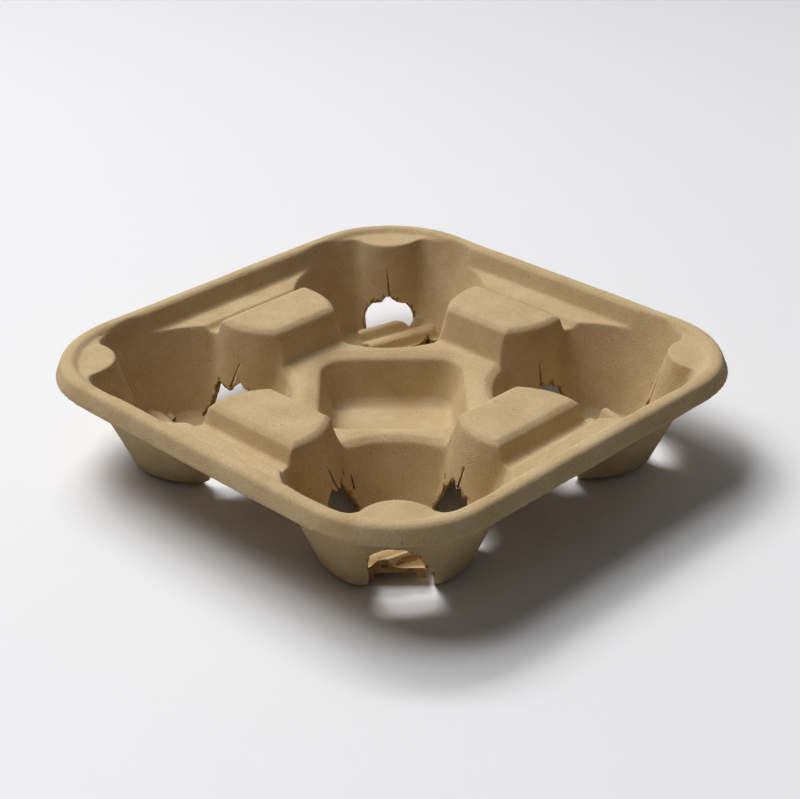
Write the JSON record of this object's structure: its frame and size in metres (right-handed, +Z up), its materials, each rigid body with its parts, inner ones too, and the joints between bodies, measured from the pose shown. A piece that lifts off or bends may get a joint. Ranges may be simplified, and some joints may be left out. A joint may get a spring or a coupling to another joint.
{
  "type": "moulded pulp cup carrier",
  "caption": "Square moulded-pulp drinks tray with round cup wells in its corners, raised blocks between them, a middle well and a turned-down rim.",
  "frame": {"origin": "on the ground under the middle of the tray", "axes": "+Z up, X and Y along the tray's sides"},
  "size_m": [0.215, 0.215, 0.045],
  "materials": {
    "pulp": "matt, unbleached, slightly fibrous"
  },
  "bodies": {
    "root": {"cup_carrier": "pulp"}
  },
  "joints": []
}
